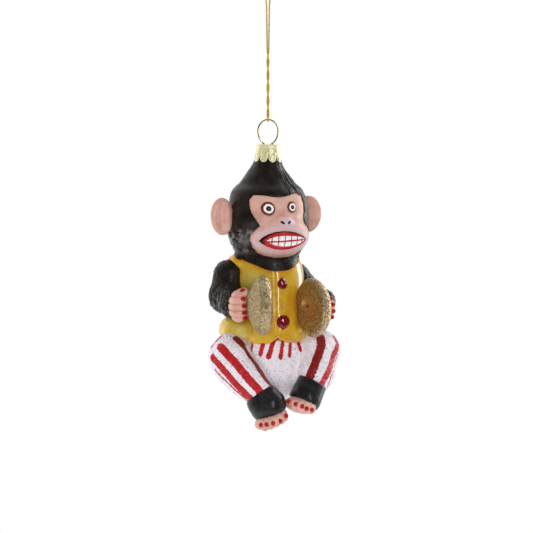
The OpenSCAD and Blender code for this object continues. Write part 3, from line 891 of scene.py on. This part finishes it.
def glitter_paint():
    m = Paint("glitter_gold")
    cells = m.cells(.34)
    pick = m.red(cells)
    clumps = m.clouds(.9, .45, .7, detail=4, rough=.7)
    outer = m.mix(m.between(pick, .1, .9), (.34, .24, .09), (.84, .70, .42))
    outer = m.mix(clumps, outer, (.27, .18, .06))
    inner = m.mix(m.between(pick, .1, .9), (.34, .19, .05), (.62, .42, .16))
    inner = m.mix(clumps, inner, (.22, .12, .03))
    colour = m.mix(m.mark("inside"), outer, inner)
    colour = m.mix(m.mark("band"), colour, (.66, .45, .34))
    dimple = m.between(m.mark("bowl"), -.2, .2)
    colour = m.mix(dimple, (.58, .31, .11), colour)
    # Near black in the dimple: painted shade of a small blow hole.
    colour = m.mix(m.between(m.mark("hole"), 0, .15), colour, (.02, .012, .008))
    flakes = m.flakes(cells, .95)
    smooth = m.add("NewGeometry").outputs["Normal"]
    tilt = m.add("Mix", {0: dimple, 4: smooth, 5: flakes}, data_type="VECTOR").outputs[1]
    return m.shader(colour, Metallic=.7, Roughness=m.between(pick, 0, 1, .22, .5), Normal=tilt)


def gem_paint():
    m = Paint("gem_red")
    # Darker towards the stone's edge by the vest: painted shade; brighter on the crown and table.
    colour = m.mix(m.between(m.mark("rim"), .1, .75), (.05, .001, .003), (.19, .003, .008))
    return m.shader(colour, Roughness=.1, Normal=m.bump(m.noise(1.5, 2), .05, .3), Coat_Weight=.5,
                    Coat_Roughness=.04)


FUR, SKIN, LIP, EYE = fur_paint(), skin_paint(), lip_paint(), eye_paint()
VEST, TROUSER, GLITTER, GEM = vest_paint(), trouser_paint(), glitter_paint(), gem_paint()
NAIL = plain_paint("red_paint", (.46, .005, .014), (.30, .003, .010), (.8, .4, .7), .28,
                   (.5, 2), .05, .4, Specular_IOR_Level=.4)
TOOTH = plain_paint("white_paint", (.94, .92, .93), (.80, .77, .79), (.8, .45, .75), .3,
                    (.5,), .06, .5, Specular_IOR_Level=.4)
CUFF = plain_paint("black_lacquer", (.014, .013, .014), (.026, .024, .024), (4, .4, .7),
                   (2.5, .35, .7, .2, .38, 4), (2.2,), .12, .4, Specular_IOR_Level=.35)
CAP = plain_paint("cap_gold", (.80, .73, .34), (.95, .92, .66), (1.1, .4, .65, 0, 1, 4, .6),
                  (1.4, .3, .7, .22, .42), (.45, 3, .6), .09, .9, Metallic=.35)
WIRE = plain_paint("wire_gold", (.55, .42, .16), (.74, .66, .34), (2.5, .4, .65), .24,
                   (2.5, 2, .5), .01, .1, Metallic=1.0)
THREAD = plain_paint("thread_gold", (.52, .30, .006), (.76, .50, .03), (.35, .4, .62, 0, 1, 3, .6),
                     (.5, .3, .7, .3, .55), (.22,), .05, .6, Metallic=.35)
GLASS = plain_paint("bare_glass", (.75, .76, .76), (.86, .88, .88), (3, .4, .7), .08,
                    (2, 2), .05, .3, Metallic=.8)

# ---- thread, wire and cap ----

# Heights of the cap's top, the wire's top, the ring's widest place and foot, and the thread's top
CAP_TOP, WIRE_TOP, WIDEST, EGG_FOOT, LOOP_TOP = 122.6, 133.15, 128.35, 122.35, 196.15
RING_R = 4.28
RING_TURN = math.radians(-22)
BEND_R, APEX_R = .75, 1.6   # the thread's bends round the wire and at its top
YARN = {"plies": 3, "twist": 1.5, "bump": .24}


def ring_turned(points):
    c, s = math.cos(RING_TURN), math.sin(RING_TURN)
    return [(c * x - s * y, s * x + c * y, z) for x, y, z in points]


# Height above the wire in mm, half the gap between the strands, and their turn in degrees
STRAND_ROWS = [(.15, .73, 90), (1.6, .36, 150), (30, .36, 1080), (48, .6, 1080), (58, 1.4, 1080)]
STRAND_STEPS = [1, 15, 6, 4]


def strand(from_ring):
    out = []
    for row, after, steps in zip(STRAND_ROWS, STRAND_ROWS[1:], STRAND_STEPS):
        for k in range(steps):
            up, gap, turn = (row[i] + (after[i] - row[i]) * k / steps for i in range(3))
            turn = math.radians(turn + from_ring)
            out.append((gap * math.cos(turn), gap * math.sin(turn), WIRE_TOP + up))
    return out


bight = [(0, BEND_R * math.cos(a), WIRE_TOP + BEND_R * math.sin(a))
         for a in np.radians([-90, -60, -30])]
apex = [(APEX_R * math.cos(w), 0, LOOP_TOP - APEX_R + APEX_R * math.sin(w))
        for w in np.radians(range(0, 181, 30))]
route = bight + strand(0) + apex + strand(180)[::-1] + [(x, -y, z) for x, y, z in bight[:0:-1]]
route = ring_turned(route)
line = spline(route, 24)
apart = lengths(line)
stops = np.linspace(0, apart[-1], 950)
line = np.stack([np.interp(stops, apart, line[:, i]) for i in range(3)], 1)
cord = tube("gold_yarn", line, .36, 12, **YARN)
finished(cord, "thread", ["hanging_thread", "thread_bight"], THREAD)

# The knot's two ends and the turns between them, heights above the wire
COIL_R, COIL_RISE, COIL_TURN = .62, 1.5, 5 * math.pi
coil = [(3.9, -.9, 56.7), (3.2, -.75, 57.2), (2.5, -.5, 57.6)]
coil += [(1.44 + COIL_R * math.cos(a), COIL_R * math.sin(a), 57.8 + COIL_RISE * a / COIL_TURN)
         for a in np.linspace(0, COIL_TURN, 41)]
coil += [(.1, .3, 59.1), (1.4, .9, 59.2), (2.7, .8, 58.8), (3.6, .5, 57.9), (4.2, .4, 57)]
coil = [(x, y, WIRE_TOP + z) for x, y, z in coil]
knot = tube("yarn_knot", spline(ring_turned(coil), 6), .34, 10, **YARN)
finished(knot, "thread", ["thread_knot"], THREAD)

# An egg, longer below its widest place, down to the holes in the cap and on into the neck
half_wire = []
for a in np.radians(range(0, 161, 5)):
    reach = WIRE_TOP - WIDEST if a < math.pi / 2 else WIDEST - EGG_FOOT
    half_wire.append((RING_R * math.sin(a), 0, WIDEST + math.cos(a) * reach))
half_wire += [(1.45, 0, 121.6), (1.75, 0, 119.6), (2.15, 0, 116.4), (2.5, 0, 113.6)]
wire_line = [(-x, y, z) for x, y, z in half_wire[:0:-1]] + half_wire
wire = tube("spring_wire", spline(ring_turned(wire_line), 4), .32, 14)
finished(wire, "hanger", ["wire_hanger"], WIRE)

LOBES, FIRST_LOBE = 9, 248   # scallops round the skirt, and where the first begins in degrees
CAP_BOTTOM, CAP_WALL = 115.1, .34
HOLE_AT, HOLE_R = 1.4, .48


def cap_field(p):
    """A crumpled cup with a scalloped skirt and two holes for the wire."""
    x, y, z = p
    turn = (np.degrees(np.arctan2(y, x)) - FIRST_LOBE) / (360 / LOBES)
    u = 2 * (turn - np.floor(turn)) - 1   # -1 to 1 across a scallop
    low = step(CAP_TOP - z, 2.2, 6.5)
    r = 5.12 + .75 * step(CAP_TOP - z, 1.5, 8.2) + .22 * low * (1 - u * u)
    r = r - .45 * low * np.exp(-((np.abs(u) - 1) / .2) ** 2)
    r = r + .07 * noise(x / .9, y / .9, z / 1.1) + .05 * grain(p, .42)
    body = smax(np.sqrt(x * x + y * y) - r, z - CAP_TOP - .05 * noise(x / .8, y / .8, z), .8)
    d = np.maximum(body, -(body + CAP_WALL))
    edge = CAP_BOTTOM + 2.3 * (1 - np.sqrt(np.maximum(1 - np.minimum(1.04 * np.abs(u), 1) ** 2, 0)))
    for at in ring_turned([(-HOLE_AT, 0, 0), (HOLE_AT, 0, 0)]):
        d = np.maximum(d, HOLE_R - np.sqrt((x - at[0]) ** 2 + (y - at[1]) ** 2))
    return smax(d, edge - z, .12)


sculpt("embossed_cap", cap_field, (-6.9, -6.9, 114.7), (6.9, 6.9, 123.1), .14, ["crown_cap"],
       "cap_gold", CAP, body="cap")
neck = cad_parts["glass_neck"]
neck.data.materials.clear()
neck.data.materials.append(GLASS)

# ---- the head's pieces ----

SIDES = ((-1, "left"), (1, "right"))


def cheek_wear_and_sheen(p):
    """Pale patches on the cheeks: thin black paint, and painted highlights where the glossy tufts catch
    light.
    """
    x, y, z = p
    place = step(np.abs(x), 9, 14) * step(z, 75, 79) * (1 - step(z, 86, 90)) * (y < 3)
    patches = noise(x / 2.6, y / 2.6, z / 2.1) + .4 * grain(p, .9)
    return .55 * place * step(patches, -.05, .7)


def sleeve_highlight_strokes(p):
    """Pale curly strokes low on the sleeves: painted highlights where the engraved curls catch light."""
    low = 1 - step(p[2], 54, 63)
    return .5 * low * step(curls((p[0] + 5, p[1], p[2] * .8), 1.2, .12), .4, .95)


sculpt("lacquered_hair", hair, (-19.5, -24.5, 66), (19.5, 19, 118), .28,
       ["head_shell"], "fur_glaze", FUR, {"wear_and_sheen": cheek_wear_and_sheen})


def lilac_highlight(p):
    """Lilac painted highlights round the mouth and on the nose."""
    x, y, z = p
    mouth = polygon(x, z, MOUTH)
    round_mouth = np.exp(-((mouth - 1.3) / 1.1) ** 2) * (mouth > -.5)
    nose = 1 - step(np.sqrt(((x - .8) / 3.9) ** 2 + ((z - 90.6) / 1.9) ** 2), .75, 1.1)
    return np.clip(.85 * round_mouth + nose, 0, 1) * (y < -8)


def nostrils(p):
    flat = (p[0], p[1] * 0, p[2])
    d = np.minimum(along(flat, (-2.1, 0, 90.6), (-1.3, 0, 90.1))[1],
                   along(flat, (1.0, 0, 90.1), (1.7, 0, 90.7))[1])
    return (1 - step(d, .42, .6)) * (p[1] < -12)


sculpt("painted_face", face, (-16, -25, 72.5), (16.5, -2, 104), .26,
       ["face_mask"], "skin_paint", SKIN, {"lilac_highlight": lilac_highlight, "black": nostrils})


def mouth_line(p):
    """Above zero in the black line over the lips, which is widest at the left corner."""
    x, z = p[0], p[2]
    middle = 82.6 + .12 * (x + 1)
    upper = step(z - middle, -.6, .4)
    width = (.55 + .5 * step(-x, 5, 11.5)) * np.maximum(upper, step(-x, 10, 11))
    return polygon(x, z, MOUTH) + width - .05


def ear_painted_shade(p):
    """Painted shade: redder, darker skin high up in the ear, next to the head."""
    return .55 * (1 - step(np.abs(p[0]), 17.5, 20.5)) * step(p[2], 88, 97)


sculpt("painted_lips", lips, (-13, -25, 77.5), (12, -12, 88.5), .2,
       ["lips"], "red_paint", LIP, {"line": mouth_line})
sculpt("painted_teeth", teeth, (-11, -25.5, 79), (10, -12, 86.5), .16,
       ["teeth"], "white_paint", TOOTH)
for side, name in SIDES:
    ex, ez, _ = EYES[side]
    sculpt(name + "_painted_eye", lambda p: eye(p, side),
           *room((ex, -13.25, ez), (3.4, 5.25, 3.4)), .16,
           [name + "_eye"], "white_paint", EYE,
           {"away": lambda p: eye_radius(p, side),
            "glint": lambda p: np.sqrt((p[0] - ex - .05) ** 2 + (p[2] - ez + .05) ** 2)})
    lo, hi = (-29, -13) if side < 0 else (13, 29)
    sculpt(name + "_cupped_ear", lambda p: smax(ear(p, side), -(skull(p) + .6), .1),
           (lo, -4, 82), (hi, 8, 103), .25,
           [name + "_ear"], "skin_paint", SKIN, {"reddish_shade": ear_painted_shade})

# ---- the body's pieces ----


def vest_edge(p):
    """How far the paint is from the vest's neckline and armholes."""
    armhole = np.abs(np.minimum(arm(p, -1), arm(p, 1))) + .4
    return np.minimum(neckline(p) - p[2], armhole)


def milk_and_highlight(p):
    """Pale clouds: a painted highlight on the bulge, and milky paint that also stands in for a highlight
    on the left of the chest.
    """
    x, y, z = p
    chest = np.exp(-((x + 11) / 3.5) ** 2 - ((z - 64.5) / 5) ** 2) * (y < 0)
    return .8 * chest + .9 * np.exp(-((x + 18) / 4.5) ** 2 - ((z - 44.5) / 3.5) ** 2)


sculpt("glazed_vest", vest, (-23, -20, 35), (21, 18, 76), .3,
       ["torso_shell"], "vest_glaze", VEST, {"edge": vest_edge, "milk_and_highlight": milk_and_highlight})
for side, name in SIDES:
    lo, hi = (-29, -8) if side < 0 else (8, 29)
    sculpt(name + "_lacquered_sleeve", lambda p: smax(sleeve(p, side), -(torso(p) + 3), .2),
           (lo, -20, 46), (hi, 9, 75), .28,
           [name + "_arm"], "fur_glaze", FUR, {"wear_and_sheen": sleeve_highlight_strokes})
    lo, hi = (-26, -13.5) if side < 0 else (13.5, 26)
    sculpt(name + "_painted_hand", lambda p: mitt(p, side),
           (lo, -24, 46.5), (hi, -10, 65), .22,
           [name + "_hand"], "skin_paint", SKIN, {"reddish_shade": lambda p: finger_groove_shade(p, side)})
    at = CYMBALS[side][0]

    def inside(p):
        r, w = cymbal_axes(p, side)
        return step(w, -.1, .4) * (1 - step(r, 10.8, 11.6))

    def rim_band(p):
        r, w = cymbal_axes(p, side)
        return .6 * step(r, 11.9, 12.3) * step(w, -1.9, -1.1)

    # Painted shade: a black disc on the cymbal's face for a small blow hole, which the mesh doesn't cut.
    def blow_hole(p):
        x, y, z = in_cymbal(p, side)
        return (.6 - np.sqrt((y - 2.5) ** 2 + (z - .4) ** 2)) * (-side * x > -3)

    sculpt(name + "_glitter_cymbal", lambda p: cymbal(p, side),
           *room(at, (10, 13.8, 13.8)), .22,
           [name + "_cymbal"], "glitter_gold", GLITTER,
           {"bowl": lambda p: hollow(p, side) - .25, "inside": inside, "band": rim_band,
            "hole": blow_hole})


sculpt("finger_nail_paint", lambda p: dots(p, FINGER_NAILS, (1.15, .75, .95)),
       (-21.5, -23, 48), (23.5, -18, 64), .16,
       ["finger_nails"], "red_paint", NAIL)

GEM_SIDES = 16
# Rows from the vest outwards: rise, share of the half width, turn in sides, and the mark "rim", low for
# painted shade at the stone's edge and high on its crown
GEM_ROWS = ((0, .96, 0, 0), (.45, 1.0, 0, .1), (1.05, .80, .5, .8), (1.5, .52, 0, 1), (1.62, .2, .5, 1))
GEM_TIP = 1.66


def gem(name, at, w, point, node):
    """A cut stone w mm wide, its outline drawn out a little at the angle point."""
    n = GEM_SIDES
    points, rim = [], []
    for rise, share, shift, value in GEM_ROWS:
        for k in range(n):
            a = 2 * math.pi * (k + shift) / n
            gap = abs((a - point + math.pi) % (2 * math.pi) - math.pi)
            r = w / 2 * share * (1 + .15 * math.exp(-(gap / .4) ** 2))
            points.append((at[0] + r * math.cos(a), at[1] - rise, at[2] + r * math.sin(a)))
            rim.append(value)
    base, tip = len(points), len(points) + 1
    points += [at, (at[0], at[1] - GEM_TIP, at[2])]
    rim += [1, 1]
    tris = []
    for i in range(len(GEM_ROWS) - 1):
        for k in range(n):
            a, b = i * n + k, i * n + (k + 1) % n
            tris += [(a, b, a + n), (b, b + n, a + n)]
    last = base - n
    for k in range(n):
        tris += [(base, (k + 1) % n, k), (tip, last + k, last + (k + 1) % n)]
    obj = solid_mesh(name, points, [], tris)
    obj.data.polygons.foreach_set("use_smooth", np.zeros(len(tris), bool))
    layer = obj.data.attributes.new("rim", "FLOAT", "POINT")
    layer.data.foreach_set("value", np.array(rim, np.float32))
    finished(obj, "figure", [node], GEM)


gem("upper_cut_gem", (.7, -13.6, 63.6), 5.0, math.radians(92), "upper_button")
gem("lower_cut_gem", (.5, -15.6, 47.7), 5.9, math.radians(-92), "lower_button")

# ---- the pieces of the trousers and feet ----


def trouser_piece(p):
    d = trousers(p) + .06 * grain(p, 1.1)
    return smax(d, -(torso(p) + 2.5), .2)


sculpt("glitter_trousers", trouser_piece, (-33, -28, 11), (31, 16, 46), .32,
       ["trouser_seat", "left_leg", "right_leg"], "glitter_white", TROUSER,
       {"stripe": lambda p: stripe(p, STRIPES),
        "deep": lambda p: 1 - step(stripe(p, STRIPES[:DEEP_STRIPES]), .2, .6)})
for side, name in SIDES:
    lo, hi = ((-20, -30.5, 3), (-1, -10, 26)) if side < 0 else ((1, -29, 7), (21, -10, 28))
    sculpt(name + "_lacquered_cuff", lambda p: cuff_piece(p, side), lo, hi, .26,
           [name + "_cuff"], "black_lacquer", CUFF)
    at = FEET[side][0]
    sculpt(name + "_painted_foot", lambda p: toed_foot(p, side),
           *room(at, (9, 8, 6)), .24,
           [name + "_foot"], "skin_paint", SKIN)
sculpt("toe_nail_paint", lambda p: dots(p, TOE_NAILS, (1.05, .75, 1.05)),
       (-16.5, -32, 4.5), (11, -24, 17), .16,
       ["toe_nails"], "red_paint", NAIL)

# ---- floor and light ----

FLOOR_R, FLOOR_HEIGHT = .6, -.46
floor_edge = [(FLOOR_R * math.cos(a), FLOOR_R * math.sin(a), FLOOR_HEIGHT)
              for a in np.linspace(0, 2 * math.pi, 64, endpoint=False)]
floor_mesh = bpy.data.meshes.new("floor")
floor_mesh.from_pydata(floor_edge, [], [tuple(range(len(floor_edge)))])
floor = bpy.data.objects.new("floor", floor_mesh)
bpy.context.scene.collection.objects.link(floor)
pale = Paint("floor")
grey = pale.mix(pale.noise(80, 2), (.86, .86, .86), (.90, .90, .90))
floor_mesh.materials.append(pale.shader(grey, Roughness=.8))

LIT = Vector((0, 0, -.13))   # what the lights point at


def soft_box(name, azimuth, elevation, distance, width, height, power, shine=True):
    """A rectangular light, angles in degrees and sizes in m; without shine no paint mirrors it."""
    light = bpy.data.lights.new(name, "AREA")
    light.shape = "RECTANGLE"
    light.size, light.size_y, light.energy = width, height, power
    obj = bpy.data.objects.new(name, light)
    way = towards(math.radians(azimuth), math.radians(elevation))
    obj.location = LIT + way * distance
    obj.rotation_euler = way.to_track_quat("Z", "Y").to_euler()
    obj.visible_camera = False
    obj.visible_glossy = shine
    bpy.context.scene.collection.objects.link(obj)


soft_box("left", -130, 12, .8, .5, .8, 4.5, shine=False)
soft_box("right", 100, 15, .8, .22, .8, 3.6)
soft_box("strip", 13, 12, .9, .06, .6, 1.7)
soft_box("top", -15, 80, .8, .6, .6, 1.5, shine=False)
soft_box("fill", -28, 0, 1.2, .9, .9, 8.8, shine=False)

# White where the camera sees it; as a light, dim in front of the part and bright behind it
BEHIND = (.37, .92, -.09)
world = bpy.data.worlds.new("studio")
bpy.context.scene.world = world
world.use_nodes = True
sky = Nodes(world.node_tree)
way = sky.add("TexCoord").outputs["Generated"]
away = sky.vector("DOT_PRODUCT", {0: way, 1: BEHIND}, "Value")
strength = sky.between(away, -.45, .6, .04, 1)
dim = sky.add("Background", {"Color": (1, 1, 1, 1), "Strength": strength})
white = sky.add("Background", {"Color": (1, 1, 1, 1)})
seen = sky.add("LightPath").outputs["Is Camera Ray"]
choose = sky.add("MixShader", {0: seen, 1: dim.outputs[0], 2: white.outputs[0]})
sky.add("OutputWorld", {0: choose.outputs[0]})
bpy.context.scene.view_settings.view_transform = "Standard"
